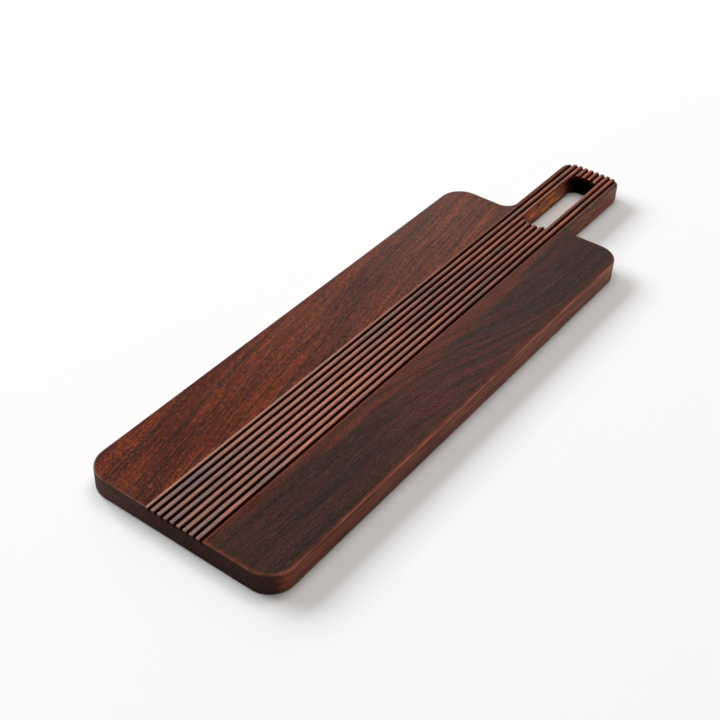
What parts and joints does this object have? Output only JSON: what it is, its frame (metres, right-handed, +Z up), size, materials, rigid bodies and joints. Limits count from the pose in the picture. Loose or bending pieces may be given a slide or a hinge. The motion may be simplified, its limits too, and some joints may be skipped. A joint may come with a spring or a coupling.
{
  "type": "tapas board",
  "caption": "Long wooden tapas board with rounded corners, a slotted handle and a fluted band down the middle of the top; lies flat and is carried by the handle.",
  "frame": {"origin": "middle of the underside, at the centre of the board's bounding box", "axes": "+Y along the board towards the handle, +X to the right of it, +Z up out of the serving face"},
  "size_m": [0.15, 0.5, 0.016],
  "materials": {
    "left_wood": "oiled satin, reddish brown",
    "centre_wood": "oiled satin, warm brown",
    "right_wood": "oiled satin, dark chocolate",
    "glue": "cured wood glue, dark brown"
  },
  "bodies": {
    "root": {"left_side_stave": "left_wood", "fluted_centre_stave": "centre_wood", "right_side_stave": "right_wood", "left_glue_line": "glue", "right_glue_line": "glue"}
  },
  "joints": []
}
